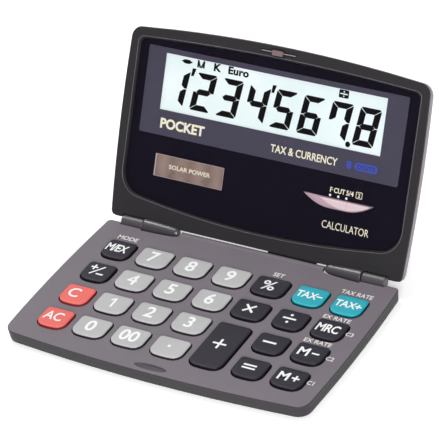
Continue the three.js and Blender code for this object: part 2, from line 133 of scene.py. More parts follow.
def moulded(name, rgb, rough=(0.42, 0.56), grain=2600, depth=0.25, spec=0.5, mottle=0.05, coat=0.0):
    """Moulded plastic with a fine spark-eroded grain, slow colour drift and a little wear in the gloss."""
    m, nt, b, co, _ = new_material(name)
    c = lin(rgb)
    slow = noise(nt, co, 90, 3)
    col = ramp(nt, slow.outputs["Fac"], [(0.3, shade(c, 1 - mottle)), (0.7, shade(c, 1 + mottle))])
    nt.links.new(col.outputs["Color"], b.inputs["Base Color"])
    fine = noise(nt, co, grain, 3, 0.6)
    r = value_map(nt, fine.outputs["Fac"], rough[0], rough[1])
    nt.links.new(r.outputs["Result"], b.inputs["Roughness"])
    bump = nt.nodes.new("ShaderNodeBump")
    bump.inputs["Strength"].default_value = depth
    bump.inputs["Distance"].default_value = 0.00006
    nt.links.new(fine.outputs["Fac"], bump.inputs["Height"])
    nt.links.new(bump.outputs["Normal"], b.inputs["Normal"])
    b.inputs["Specular IOR Level"].default_value = spec
    if coat:
        b.inputs["Coat Weight"].default_value = coat
        b.inputs["Coat Roughness"].default_value = 0.12
    return m


def ink(name, rgb, rough=0.5):
    m, nt, b, co, _ = new_material(name)
    c = lin(rgb)
    n = noise(nt, co, 4000, 2)
    col = ramp(nt, n.outputs["Fac"], [(0.3, shade(c, 0.93)), (0.7, shade(c, 1.03))])
    nt.links.new(col.outputs["Color"], b.inputs["Base Color"])
    r = value_map(nt, n.outputs["Fac"], rough - 0.06, rough + 0.06)
    nt.links.new(r.outputs["Result"], b.inputs["Roughness"])
    return m


def metal(name, rgb, rough=(0.22, 0.38), streak=(60, 3000, 60)):
    m, nt, b, co, _ = new_material(name)
    mp = nt.nodes.new("ShaderNodeMapping")
    mp.inputs["Scale"].default_value = streak
    nt.links.new(co.outputs["Object"], mp.inputs["Vector"])
    n = nt.nodes.new("ShaderNodeTexNoise")
    n.inputs["Scale"].default_value = 1.0
    n.inputs["Detail"].default_value = 4
    nt.links.new(mp.outputs["Vector"], n.inputs["Vector"])
    c = lin(rgb)
    col = ramp(nt, n.outputs["Fac"], [(0.3, shade(c, 0.85)), (0.7, shade(c, 1.05))])
    nt.links.new(col.outputs["Color"], b.inputs["Base Color"])
    r = value_map(nt, n.outputs["Fac"], *rough)
    nt.links.new(r.outputs["Result"], b.inputs["Roughness"])
    b.inputs["Metallic"].default_value = 1.0
    return m


DECK = moulded("deck_grey", (111, 103, 112), rough=(0.45, 0.6), depth=0.35)
SHELL = moulded("shell_dark", (42, 39, 42), rough=(0.45, 0.6), depth=0.35)
REAR = moulded("shell_grey", (116, 110, 116), rough=(0.42, 0.58), depth=0.35)
FRAME = moulded("frame_black", (42, 40, 43), rough=(0.5, 0.62), depth=0.3, spec=0.2)
# pale grey for the frame's outer walls: a lighter side band that also stands in for a painted highlight along the edge
RIM_BAND_AND_HIGHLIGHT = moulded("frame_side_band_and_highlight", (134, 126, 132), rough=(0.4, 0.52), depth=0.25, spec=0.4)
# painted highlight: a grey lighter than the frame for the bead round the window
BEAD_HIGHLIGHT = moulded("frame_bead_painted_highlight", (84, 80, 86), rough=(0.24, 0.34), depth=0.08)
# painted shade: a darker copy of the deck grey for the hinge barrels
BARREL_SHADE = moulded("barrel_painted_shade", (74, 70, 75), rough=(0.34, 0.42), depth=0.1, spec=0.8)
BULLET = moulded("bullet_black", (66, 62, 67), rough=(0.3, 0.38), depth=0.05, spec=0.9)
# painted shade: near-black for the gaps round the keys, the hinge notches, the latch nub and the lens edges
WELL_SHADE = moulded("well_painted_shade", (26, 23, 28), rough=(0.6, 0.7), depth=0.1, spec=0.15)
# painted shade: a darker deck grey inside the finger dimple
DIMPLE_SHADE = moulded("dimple_painted_shade", (84, 78, 86), rough=(0.5, 0.62), depth=0.3, spec=0.3)
SIDE = moulded("side_grey", (46, 43, 47), rough=(0.45, 0.58), depth=0.3, spec=0.35)
# painted shade: darker copies of the key colours for the lower side walls of the keys
SKIRT_SHADE = {
    "key_grey": moulded("skirt_grey_painted_shade", (44, 41, 46), rough=(0.55, 0.65), depth=0.1, spec=0.15),
    "key_black": moulded("skirt_black_painted_shade", (20, 18, 24), rough=(0.55, 0.65), depth=0.1, spec=0.15),
    "key_red": moulded("skirt_red_painted_shade", (138, 44, 44), rough=(0.5, 0.6), depth=0.1, spec=0.2),
    "key_teal": moulded("skirt_teal_painted_shade", (6, 78, 88), rough=(0.5, 0.6), depth=0.1, spec=0.2),
}
LINE = moulded("cell_border", (176, 160, 154), rough=(0.4, 0.5), depth=0.05, spec=0.2)
PILL = ink("pill_blue", (50, 70, 176), 0.5)
KEY_GREY = moulded("key_grey", (182, 181, 182), rough=(0.38, 0.5), grain=3200, depth=0.12)
KEY_BLACK = moulded("key_black", (34, 30, 42), rough=(0.36, 0.48), grain=3200, depth=0.12, spec=0.28)
KEY_RED = moulded("key_red", (232, 98, 90), rough=(0.36, 0.48), grain=3200, depth=0.12)
KEY_TEAL = moulded("key_teal", (4, 168, 184), rough=(0.36, 0.48), grain=3200, depth=0.12)
KNOB_M = moulded("knob_pale", (214, 192, 198), rough=(0.34, 0.44), grain=3000, depth=0.1)
# painted shade: a darker copy of the knob colour for the flange that lies down in the slot
KNOB_FLANGE_SHADE = moulded("knob_flange_painted_shade", (188, 160, 174), rough=(0.36, 0.46), grain=3000, depth=0.1)
CLAW = moulded("claw_brown", (118, 98, 102), rough=(0.34, 0.45), depth=0.15)
GLINT = moulded("claw_bar", (168, 158, 162), rough=(0.3, 0.4), depth=0.1)
RUBBER = moulded("mat_rubber", (154, 160, 162), rough=(0.7, 0.85), depth=0.2)
PCB = moulded("circuit_board", (38, 92, 52), rough=(0.3, 0.45), grain=1500, depth=0.3, mottle=0.15)
EPOXY = moulded("epoxy", (22, 22, 24), rough=(0.2, 0.32), depth=0.1)
FLEX = moulded("flex_film", (62, 58, 60), rough=(0.28, 0.4), grain=1400, depth=0.1)
PRINT = moulded("print_navy", (22, 19, 30), rough=(0.12, 0.18), grain=3000, depth=0.0, spec=0.4, mottle=0.06)
PANEL = moulded("print_grey", (72, 69, 83), rough=(0.12, 0.18), grain=3500, depth=0.0, spec=0.4, mottle=0.03)
BEZEL = moulded("print_line", (120, 118, 128), rough=(0.3, 0.4), grain=3000, depth=0.03)
STEEL = metal("steel", (170, 170, 174))
BRASS = metal("brass", (205, 170, 100))
WHITE = ink("legend_white", (244, 246, 246), 0.45)
CREAM = ink("legend_cream", (232, 226, 200), 0.5)
LABEL = ink("label_grey", (236, 230, 226), 0.55)
BLUE = ink("legend_blue", (58, 78, 190), 0.5)
SEG = ink("segment_black", (9, 9, 11), 0.6)
SEG.node_tree.nodes["Principled BSDF"].inputs["Specular IOR Level"].default_value = 0.1

# The display glass: a pale reflective ground with a faint sheen.
LCD_M, nt, b, co, _ = new_material("lcd")
n1 = noise(nt, co, 60, 2)
cl = ramp(nt, n1.outputs["Fac"], [(0.3, lin((222, 236, 235))), (0.7, lin((233, 243, 243)))])
nt.links.new(cl.outputs["Color"], b.inputs["Base Color"])
n2 = noise(nt, co, 6000, 2)
rr = value_map(nt, n2.outputs["Fac"], 0.25, 0.4)
nt.links.new(rr.outputs["Result"], b.inputs["Roughness"])

# The solar cell: brown film with thin scribed lines between its strips.
SOLAR_M, nt, b, co, _ = new_material("solar")
sep = nt.nodes.new("ShaderNodeSeparateXYZ")
nt.links.new(co.outputs["Object"], sep.inputs["Vector"])
wave = nt.nodes.new("ShaderNodeMath")
wave.operation = "PINGPONG"
wave.inputs[1].default_value = 0.00279
off = nt.nodes.new("ShaderNodeMath")
off.operation = "ADD"
off.inputs[1].default_value = 0.03383
nt.links.new(sep.outputs["X"], off.inputs[0])
nt.links.new(off.outputs[0], wave.inputs[0])
line = ramp(nt, wave.outputs[0], [(0.0, lin((128, 108, 101))), (0.00006, lin((128, 108, 101))), (0.0001, lin((158, 137, 129)))])
line.color_ramp.interpolation = "LINEAR"
mixn = nt.nodes.new("ShaderNodeMix")
mixn.data_type = "RGBA"
mixn.blend_type = "MULTIPLY"
mixn.inputs["Factor"].default_value = 0.6
n3 = noise(nt, co, 220, 4)
tone = ramp(nt, n3.outputs["Fac"], [(0.3, (0.8, 0.78, 0.8)), (0.7, (1.1, 1.06, 1.02))])
nt.links.new(line.outputs["Color"], mixn.inputs["A"])
nt.links.new(tone.outputs["Color"], mixn.inputs["B"])
nt.links.new(mixn.outputs["Result"], b.inputs["Base Color"])
rr = value_map(nt, n3.outputs["Fac"], 0.22, 0.36)
nt.links.new(rr.outputs["Result"], b.inputs["Roughness"])

# The window: clear acrylic that mostly shows what is behind it and mirrors a little.
CLEAR_M = bpy.data.materials.new("lens_clear")
CLEAR_M.use_nodes = True
nt = CLEAR_M.node_tree
nt.nodes.clear()
out = nt.nodes.new("ShaderNodeOutputMaterial")
mix = nt.nodes.new("ShaderNodeMixShader")
tr = nt.nodes.new("ShaderNodeBsdfTransparent")
tr.inputs["Color"].default_value = (0.985, 0.985, 0.99, 1)
gl = nt.nodes.new("ShaderNodeBsdfPrincipled")
gl.inputs["Base Color"].default_value = (0.02, 0.02, 0.025, 1)
gl.inputs["Metallic"].default_value = 0.0
gl.inputs["Specular IOR Level"].default_value = 1.0
fr = nt.nodes.new("ShaderNodeFresnel")
fr.inputs["IOR"].default_value = 1.42
co = nt.nodes.new("ShaderNodeTexCoord")
n4 = noise(nt, co, 300, 3)
rr = value_map(nt, n4.outputs["Fac"], 0.06, 0.12)
gl2 = nt.nodes.new("ShaderNodeBsdfGlossy")
gl2.inputs["Color"].default_value = (1, 1, 1, 1)
nt.nodes.remove(gl)
nt.links.new(rr.outputs["Result"], gl2.inputs["Roughness"])
# only the outer faces mirror: light leaving the sheet passes straight through
geo = nt.nodes.new("ShaderNodeNewGeometry")
outer = nt.nodes.new("ShaderNodeMath")
outer.operation = "SUBTRACT"
outer.inputs[0].default_value = 1.0
nt.links.new(geo.outputs["Backfacing"], outer.inputs[1])
facing = nt.nodes.new("ShaderNodeMath")
facing.operation = "MULTIPLY"
nt.links.new(fr.outputs["Fac"], facing.inputs[0])
nt.links.new(outer.outputs[0], facing.inputs[1])
thin = nt.nodes.new("ShaderNodeMath")
thin.operation = "MULTIPLY"
thin.inputs[1].default_value = 0.2
nt.links.new(facing.outputs[0], thin.inputs[0])
nt.links.new(thin.outputs[0], mix.inputs["Fac"])
nt.links.new(tr.outputs["BSDF"], mix.inputs[1])
nt.links.new(gl2.outputs["BSDF"], mix.inputs[2])
nt.links.new(mix.outputs["Shader"], out.inputs["Surface"])


# ---------------------------------------------------------------- mesh helpers
def obj_from(name, verts, faces, matrix, material, body, smooth=40):
    me = bpy.data.meshes.new(name)
    me.from_pydata([tuple(v) for v in verts], [], faces)
    me.transform(matrix)
    o = bpy.data.objects.new(name, me)
    bpy.context.scene.collection.objects.link(o)
    me.materials.append(material)
    finish_mesh(me, smooth)
    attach(o, body)
    return o


def finish_mesh(me, smooth):
    bm = bmesh.new()
    bm.from_mesh(me)
    bmesh.ops.remove_doubles(bm, verts=bm.verts, dist=1e-7)
    bmesh.ops.recalc_face_normals(bm, faces=bm.faces)
    bm.to_mesh(me)
    bm.free()
    me.shade_smooth()
    me.set_sharp_from_angle(angle=math.radians(smooth))


def detail(node, material, bevel=0.0, segments=2, smooth=32, slot=None, limit=35):
    """A welded, smooth-shaded copy of a CAD node with small edge radii."""
    src = NODES[node]
    me = src.data.copy()
    me.name = node + "_detail"
    o = bpy.data.objects.new(node + "_detail", me)
    bpy.context.scene.collection.objects.link(o)
    bm = bmesh.new()
    bm.from_mesh(me)
    bmesh.ops.remove_doubles(bm, verts=bm.verts, dist=2e-6)
    bmesh.ops.dissolve_limit(bm, angle_limit=math.radians(0.6), verts=bm.verts, edges=bm.edges)
    bmesh.ops.recalc_face_normals(bm, faces=bm.faces)
    bm.to_mesh(me)
    bm.free()
    me.materials.clear()
    me.materials.append(material)
    me.polygons.foreach_set("material_index", [0] * len(me.polygons))
    me.shade_smooth()
    me.set_sharp_from_angle(angle=math.radians(smooth))
    if bevel:
        m = o.modifiers.new("edge", "BEVEL")
        m.width = bevel * MM
        m.segments = segments
        m.limit_method = "ANGLE"
        m.angle_limit = math.radians(limit)
        m.use_clamp_overlap = True
        m.harden_normals = True
    flat = o.modifiers.new("flat", "WEIGHTED_NORMAL")
    flat.weight = 80
    flat.keep_sharp = True
    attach(o, src["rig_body"])
    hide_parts(node)
    return o


def paint(o, material, test, frame_matrix):
    """Give the faces that test(centre, normal) picks, in the frame's own millimetres, another material."""
    me = o.data
    me.materials.append(material)
    k = len(me.materials) - 1
    inv = frame_matrix.inverted()
    rot = inv.to_3x3()
    for p in me.polygons:
        if test(inv @ p.center, (rot @ p.normal).normalized()):
            p.material_index = k


def bezier(a, c, b, n, k=0.56):
    out = []
    p1 = (a[0] + (c[0] - a[0]) * k, a[1] + (c[1] - a[1]) * k)
    p2 = (b[0] + (c[0] - b[0]) * k, b[1] + (c[1] - b[1]) * k)
    for i in range(n + 1):
        t = i / n
        u = 1 - t
        w = (u ** 3, 3 * u * u * t, 3 * u * t * t, t ** 3)
        out.append(tuple(w[0] * a[j] + w[1] * p1[j] + w[2] * p2[j] + w[3] * b[j] for j in (0, 1)))
    return out


def ccw(p):
    a = sum(p[i][0] * p[(i + 1) % len(p)][1] - p[(i + 1) % len(p)][0] * p[i][1] for i in range(len(p)))
    return p if a > 0 else p[::-1]


def key_outline(w, h, grow=0.0):
    a, t, b = w / 2 + grow, h / 2 + grow, -h / 2 - grow
    rt, rb, bow = max(0.35, 1.15 + grow), max(1.2, 2.5 + grow), 0.28
    p = []
    p += bezier((-a + rt, t), (-a, t), (-a, t - rt), 7)
    for i in range(1, 4):
        p.append((-a, t - rt + (b + bow + rb - t + rt) * i / 4))
    p += bezier((-a, b + bow + rb), (-a, b + bow), (-a + rb, b + 0.1), 10)
    for i in range(1, 6):
        x = -a + rb + (2 * a - 2 * rb) * i / 6
        p.append((x, b + 0.1 * (x / (a - rb)) ** 2))
    p += bezier((a - rb, b + 0.1), (a, b + bow), (a, b + bow + rb), 10)
    for i in range(1, 4):
        p.append((a, b + bow + rb + (t - rt - b - bow - rb) * i / 4))
    p += bezier((a, t - rt), (a, t), (a - rt, t), 7)
    for i in range(1, 4):
        p.append((a - rt - (2 * a - 2 * rt) * i / 4, t))
    return ccw(p)


def loft(rings, close_top=True, close_bottom=True):
    n = len(rings[0])
    verts = [v for r in rings for v in r]
    faces = []
    for k in range(len(rings) - 1):
        for j in range(n):
            a, b = k * n + j, k * n + (j + 1) % n
            faces.append((a, b, b + n, a + n))
    if close_bottom:
        faces.append(tuple(reversed(range(n))))
    if close_top:
        faces.append(tuple(range((len(rings) - 1) * n, len(rings) * n)))
    return verts, faces


def prism(pts, z0, z1):
    pts = ccw(list(pts))
    return loft([[(x, y, z0) for x, y in pts], [(x, y, z1) for x, y in pts]])


def sheet_with_holes(outline, holes, z0, z1):
    """A thin plate with openings: both faces are filled between the outline and the holes."""
    loops = [ccw(list(outline))] + [ccw(list(h))[::-1] for h in holes]
    flat = [p for l in loops for p in l]
    tris = geometry.tessellate_polygon([[Vector((x, y, 0)) for x, y in l] for l in loops])
    n = len(flat)
    verts = [(x, y, z0) for x, y in flat] + [(x, y, z1) for x, y in flat]
    faces = []
    for t in tris:
        a, b, c = t
        area = (flat[b][0] - flat[a][0]) * (flat[c][1] - flat[a][1]) - (flat[c][0] - flat[a][0]) * (flat[b][1] - flat[a][1])
        if area < 0:
            a, b, c = a, c, b
        faces.append((a + n, b + n, c + n))
        faces.append((a, c, b))
    i = 0
    for l in loops:
        for j in range(len(l)):
            a, b = i + j, i + (j + 1) % len(l)
            faces.append((a, b, b + n, a + n))
        i += len(l)
    return verts, faces


def rect(x0, x1, y0, y1, r=0.0, n=4):
    if not r:
        return [(x0, y0), (x1, y0), (x1, y1), (x0, y1)]
    p = []
    p += bezier((x0, y0 + r), (x0, y0), (x0 + r, y0), n)
    p += bezier((x1 - r, y0), (x1, y0), (x1, y0 + r), n)
    p += bezier((x1, y1 - r), (x1, y1), (x1 - r, y1), n)
    p += bezier((x0 + r, y1), (x0, y1), (x0, y1 - r), n)
    return p


def text(name, body_text, size, x, y, z, matrix, material, body, depth=0.02, bold=0.0, sx=1.0, shear=0.0, align="CENTER", spacing=1.0):
    """Lettering as a mesh: cap height about size, centred on x, y."""
    cu = bpy.data.curves.new(name, "FONT")
    cu.body = body_text
    cu.align_x, cu.align_y = align, "CENTER"
    cu.size = size / 0.729
    cu.offset = bold
    cu.shear = shear
    cu.space_character = spacing
    cu.resolution_u = 4
    cu.extrude = depth / 2
    tmp = bpy.data.objects.new(name + "_tmp", cu)
    bpy.context.scene.collection.objects.link(tmp)
    dg = bpy.context.evaluated_depsgraph_get()
    dg.update()
    me = bpy.data.meshes.new_from_object(tmp.evaluated_get(dg))
    bpy.data.objects.remove(tmp)
    co = [v.co for v in me.vertices]
    lo = [min(c[i] for c in co) for i in (0, 1)]
    hi = [max(c[i] for c in co) for i in (0, 1)]
    cx = (lo[0] + hi[0]) / 2 if align == "CENTER" else lo[0]
    cy = (lo[1] + hi[1]) / 2
    me.transform(matrix @ Matrix.Translation((x, y, z)) @ Matrix.Diagonal((sx, 1, 1, 1)) @ Matrix.Translation((-cx, -cy, 0)))
    me.name = name
    me.materials.clear()
    me.materials.append(material)
    o = bpy.data.objects.new(name, me)
    bpy.context.scene.collection.objects.link(o)
    bm = bmesh.new()
    bm.from_mesh(me)
    bmesh.ops.remove_doubles(bm, verts=bm.verts, dist=1e-7)
    bm.to_mesh(me)
    bm.free()
    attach(o, body)
    return o


def bars(name, rects, z0, z1, matrix, material, body):
    """Several flat polygons as one piece, such as a minus sign or a digit's segments."""
    verts, faces = [], []
    for p in rects:
        v, f = prism(p, z0, z1)
        k = len(verts)
        verts += v
        faces += [tuple(i + k for i in q) for q in f]
    return obj_from(name, verts, faces, matrix, material, body)


def disc(x, y, r, n=20):
    return [(x + r * math.cos(2 * math.pi * i / n), y + r * math.sin(2 * math.pi * i / n)) for i in range(n)]


# ---------------------------------------------------------------- shells and inner parts
deck = detail("keyboard_top_cover", DECK, bevel=0.07, segments=2, slot="deck_grey")
# painted shade on the walls of the key openings
paint(deck, WELL_SHADE, lambda c, n: abs(c.x) < 41 and -49.5 < c.y < -7 and abs(n.z) < 0.5 and c.z > 2.9, BASE)
paint(deck, SIDE, lambda c, n: abs(n.z) < 0.72 and c.z < H - 0.1 and (abs(c.x) > 43.0 or c.y < -51.0), BASE)
# painted shade in the finger dimple
paint(deck, DIMPLE_SHADE, lambda c, n: abs(c.x) < 5.3 and -53.7 < c.y < -50.9 and c.z < H - 0.03 and n.z > 0.2, BASE)
# painted shade on the deck's notch faces round the hinge bullets
paint(deck, WELL_SHADE, lambda c, n: 21.9 < abs(c.x) < 33.69 and math.hypot(c.y - AY, c.z - AZ) < 2.2, BASE)
# painted shade: the hinge barrels moulded on the deck take the darker grey
paint(deck, BARREL_SHADE, lambda c, n: 33.5 < abs(c.x) < 40.5 and math.hypot(c.y - AY, c.z - AZ) < 1.62, BASE)
detail("keyboard_bottom_cover", SHELL, bevel=0.09, segments=2, slot="shell_dark")
dframe = detail("display_frame", FRAME, bevel=0.1, segments=2, slot="frame_black")
# the frame's outer side and top walls take the pale side-band grey, which also paints a highlight along the outer edge
paint(dframe, RIM_BAND_AND_HIGHLIGHT, lambda c, n: abs(n.z) < 0.8 and ((abs(c.x) > 43.4 and n.x * c.x > 0) or (n.y > 0.3 and c.y > 54.75 - 2.265 * (c.x / 44.65) ** 2)), DISP)
# painted shade on the frame's notch faces round the hinge barrels
paint(dframe, WELL_SHADE, lambda c, n: 33.35 < abs(c.x) < 40.9 and math.hypot(c.y, c.z) < 1.95, DISP)
paint(dframe, BULLET, lambda c, n: 22.3 < abs(c.x) < 33.6 and math.hypot(c.y, c.z) < 2.0, DISP)
detail("display_rear_cover", REAR, slot="shell_grey")
claw = detail("latch_claw", CLAW, bevel=0.1, segments=3, slot="frame_black")
paint(claw, GLINT, lambda c, n: abs(c.x + 0.2) > 1.7 and n.z > -0.5, DISP)
detail("key_mat", RUBBER, slot="mat_rubber")
detail("keyboard_circuit_board", PCB, slot="circuit_board")
detail("main_circuit_board", PCB, slot="circuit_board")
detail("chip_blob", EPOXY, slot="epoxy", smooth=60)
detail("button_cell", STEEL, bevel=0.12, segments=3, slot="cell_steel")
detail("cell_clip", BRASS, slot="brass")
detail("switch_wiper", BRASS, slot="brass")
detail("solar_cell", SOLAR_M, slot="solar")
detail("lcd_glass", LCD_M, slot="lcd")
detail("lcd_reflector", STEEL, slot="reflector")
detail("heat_seal_ribbon", FLEX, slot="flex_film")
detail("hinge_pin_left", STEEL, slot="steel")
detail("hinge_pin_right", STEEL, slot="steel")
for i in range(1, 5):
    detail(f"keyboard_screw_{i}", STEEL, slot="steel")
    detail(f"display_screw_{i}", STEEL, slot="steel")
lens = detail("window_lens", CLEAR_M, slot="lens_clear")
# painted shade: the lens's side walls take the near-black, so the edge of the window recess reads dark
paint(lens, WELL_SHADE, lambda c, n: abs(n.z) < 0.6, DISP)
detail("window_print_film", PRINT, slot="print_film")

# The film between the leaves: a welded, smooth-shaded copy of its CAD shape.
src = NODES["flex_cable"]
me = src.data.copy()
flex = bpy.data.objects.new("flex_cable_detail", me)
bpy.context.scene.collection.objects.link(flex)
bm = bmesh.new()
bm.from_mesh(me)
bmesh.ops.remove_doubles(bm, verts=bm.verts, dist=2e-6)
bm.to_mesh(me)
bm.free()
me.materials.clear()
me.materials.append(FLEX)
me.shade_smooth()
me.set_sharp_from_angle(angle=math.radians(40))
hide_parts("flex_cable")
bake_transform(flex)

# ---------------------------------------------------------------- keys
NAMES = [
    ["key_mode", "key_7", "key_8", "key_9", "key_percent", "key_tax_minus", "key_tax_plus"],
    ["key_sign", "key_4", "key_5", "key_6", "key_multiply", "key_divide", "key_mrc"],
    ["key_c", "key_1", "key_2", "key_3", "key_plus", "key_minus", "key_m_minus"],
    ["key_ac", "key_0", "key_00", "key_point", None, "key_equals", "key_m_plus"],
]


def key_material(n):
    if n[4:].isdigit() or n == "key_point":
        return KEY_GREY, "key_grey"
    if n in ("key_c", "key_ac"):
        return KEY_RED, "key_red"
    if n.startswith("key_tax"):
        return KEY_TEAL, "key_teal"
    return KEY_BLACK, "key_black"


def key_cap(name, x, y, w, h):
    prof = [(0.55, 2.56), (0.55, 2.9), (0.5, 2.94), (0.0, 2.94), (0.0, 3.4), (-0.01, 4.2), (-0.02, 4.33), (-0.05, 4.42), (-0.11, 4.5), (-0.2, 4.555), (-0.34, 4.585), (-0.6, 4.596), (-1.1, 4.6)]
    rings = [[(x + px, y + py, z) for px, py in key_outline(w, h, g)] for g, z in prof]
    verts, faces = loft(rings)
    mat, slot = key_material(name)
    o = obj_from(name + "_cap", verts, faces, BASE, mat, name + "_body", smooth=50)
    # painted shade: the lower side walls of each key take a darker copy of its colour
    paint(o, SKIRT_SHADE[slot], lambda c, n: c.z < 4.34 and n.z < 0.5, BASE)
    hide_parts(name)
    return o


ZT = KEY_TOP  # lettering sits on the flat of the crown
LETTER = 0.03


def legend(name, s, size, dx=0.0, dy=0.0, sx=1.0, bold=0.02, shear=0.0, spacing=1.0):
    k = POS[name]
    o = text(name + "_legend", s, size, k[0] + dx, k[1] + dy, ZT, BASE, WHITE, name + "_body", depth=LETTER, bold=bold, sx=sx, shear=shear, spacing=spacing)
    return o


def sign(name, shapes):
    k = POS[name]
    z = ZT
    return bars(name + "_legend", [[(k[0] + px, k[1] + py) for px, py in s] for s in shapes], z - 0.015, z + 0.015, BASE, WHITE, name + "_body")


POS = {}
for r, names in enumerate(NAMES):
    for c, n in enumerate(names):
        if n is None:
            continue
        tall = n == "key_plus"
        h = TALL_H if tall else KEY_H
        y = ROWS[2] + KEY_H / 2 - TALL_H / 2 if tall else ROWS[r]
        POS[n] = (COLS[c], y, COLW[c], h)
        key_cap(n, COLS[c], y, COLW[c], h)

DY = 0.4
for d in "023456789":
    legend("key_" + d, d, 4.25, dx=-0.3, dy=DY, bold=0.11, sx=1.0)
legend("key_00", "00", 4.25, dx=-0.3, dy=DY, bold=0.11, sx=0.97, spacing=0.98)
legend("key_mode", "M/EX", 3.05, dx=-0.5, dy=DY + 0.1, bold=0.10, sx=0.71, spacing=0.92)
legend("key_percent", "%", 3.9, dx=-0.4, dy=DY, bold=0.05, sx=1.12)
legend("key_tax_minus", "TAX", 2.6, dx=-0.95, dy=DY, bold=0.08, sx=0.86, spacing=0.95)
legend("key_tax_plus", "TAX", 2.6, dx=-0.85, dy=DY, bold=0.08, sx=0.86, spacing=0.95)
legend("key_mrc", "MRC", 3.1, dx=-0.3, dy=DY, bold=0.10, sx=0.77, spacing=0.95)
legend("key_m_minus", "M", 3.1, dx=-1.65, dy=DY, bold=0.10, sx=1.02)
legend("key_m_plus", "M", 3.1, dx=-1.65, dy=DY, bold=0.10, sx=1.02)
legend("key_c", "C", 3.7, dx=-0.95, dy=DY + 0.15, bold=0.05)
legend("key_ac", "AC", 3.45, dx=-0.65, dy=DY + 0.1, bold=0.05, sx=0.84)


def bar(x, y, w, t):
    return rect(x - w / 2, x + w / 2, y - t / 2, y + t / 2)


def extra(name, tag, shapes):
    k = POS[name]
    return bars(name + tag, [[(k[0] + px, k[1] + py) for px, py in s] for s in shapes], ZT - 0.015, ZT + 0.015, BASE, WHITE, name + "_body")


def plus(x, y, w, t):
    return [(x - w / 2, y - t / 2), (x - t / 2, y - t / 2), (x - t / 2, y - w / 2), (x + t / 2, y - w / 2), (x + t / 2, y - t / 2), (x + w / 2, y - t / 2),
            (x + w / 2, y + t / 2), (x + t / 2, y + t / 2), (x + t / 2, y + w / 2), (x - t / 2, y + w / 2), (x - t / 2, y + t / 2), (x - w / 2, y + t / 2)]


def turn(pts, ang, x, y):
    c, s = math.cos(ang), math.sin(ang)
    return [(x + px * c - py * s, y + px * s + py * c) for px, py in pts]


# the figure one: a stem and its flag in one outline
one = [(0.12, -1.85), (0.72, -1.85), (0.72, 1.85), (0.18, 1.85), (-0.95, 1.15), (-0.68, 0.68), (0.12, 1.12)]
sign("key_1", [[(px - 0.3, py + DY) for px, py in one]])
extra("key_tax_minus", "_bar", [bar(2.6, DY + 0.1, 1.75, 0.46)])
extra("key_tax_plus", "_cross", [plus(2.8, DY, 1.85, 0.46)])
extra("key_m_minus", "_bar", [bar(1.7, DY, 2.1, 0.54)])
extra("key_m_plus", "_cross", [plus(1.75, DY, 2.2, 0.54)])
sign("key_point", [disc(-0.25, DY, 0.46, 24)])
sign("key_multiply", [turn(plus(0, 0, 4.05, 0.64), math.pi / 4, -0.35, DY + 0.1)])
sign("key_divide", [bar(-0.4, DY + 0.05, 3.8, 0.6), disc(-0.4, DY + 1.55, 0.42), disc(-0.4, DY - 1.45, 0.42)])
sign("key_minus", [bar(-0.4, DY + 0.05, 3.9, 0.66)])
sign("key_equals", [bar(-0.4, DY + 0.62, 3.8, 0.58), bar(-0.4, DY - 0.58, 3.8, 0.58)])
sign("key_plus", [plus(-0.3, 0.6, 3.9, 0.62)])
sign("key_sign", [plus(-1.75, DY + 1.2, 2.1, 0.5), turn(bar(0, 0, 4.9, 0.46), math.radians(52), -0.35, DY + 0.15), bar(1.1, DY - 1.25, 2.2, 0.5)])

# small labels printed on the deck
for name, s, x, y, size, sx in (
    ("label_mode", "MODE", -34.65, -6.1, 1.7, 1.0), ("label_set", "SET", 12.2, -6.15, 1.7, 0.95), ("label_rate_1", "TAX RATE", 35.55, -6.3, 1.7, 0.9),
    ("label_rate_2", "EX RATE", 35.45, -17.3, 1.6, 1.0), ("label_rate_3", "EX RATE", 35.45, -27.75, 1.6, 1.0),
    ("label_c3", "C3", 41.6, -22.05, 1.55, 0.95), ("label_c2", "C2", 41.6, -32.7, 1.55, 0.95), ("label_c1", "C1", 41.6, -43.05, 1.55, 0.95)):
    text(name, s, size * 0.95, x, y, H + 0.002, BASE, LABEL, "keyboard_leaf", depth=0.012, bold=0.03, sx=sx)

# ---------------------------------------------------------------- display leaf: prints, digits, switch
D = DISP


def window_outline(g):
    w, rt = 42.3 + g, 1.6
    top = lambda x: 51.65 + g - 1.4 * (x / 42.3) ** 2
    bot = lambda x: 4.9 - g + 2.75 * (x / 37) ** 2
    half = [(x, bot(x)) for x in (0, 4, 9, 13, 18, 22, 27, 30.5, 34)]
    half += bezier((37 + g * 0.6, bot(37)), (w - 0.15, bot(40.5)), (w, 14.0 - g * 0.5), 12)
    half += [(w, 22), (w, 30), (w, 40)]
    half += bezier((w, top(w) - rt), (w, top(w)), (w - rt, top(w - rt)), 6)
    half += [(x, top(x)) for x in (36, 32, 28, 24, 20, 16, 12, 8, 4, 0)]
    return half + [(-x, y) for x, y in reversed(half[1:-1])]


# painted shade: thin dark sheets on the frame face mark the gap round the latch nub and its cross bar
v, f = sheet_with_holes(rect(-2.25, 1.85, 52.25, 54.35, 0.25), [rect(-1.85, 1.45, 52.52, 54.1)], FACE + 0.003, FACE + 0.014)
gap = obj_from("claw_gap_shade", v, f, D, WELL_SHADE, "display_leaf")
lines = bars("claw_bar_gap_shade", [rect(-5.6, -2.25, 53.62, 53.86), rect(1.85, 5.5, 53.62, 53.86), rect(-5.4, -2.25, 52.96, 53.18), rect(1.85, 5.3, 52.96, 53.18)], FACE + 0.003, FACE + 0.014, D, WELL_SHADE, "display_leaf")

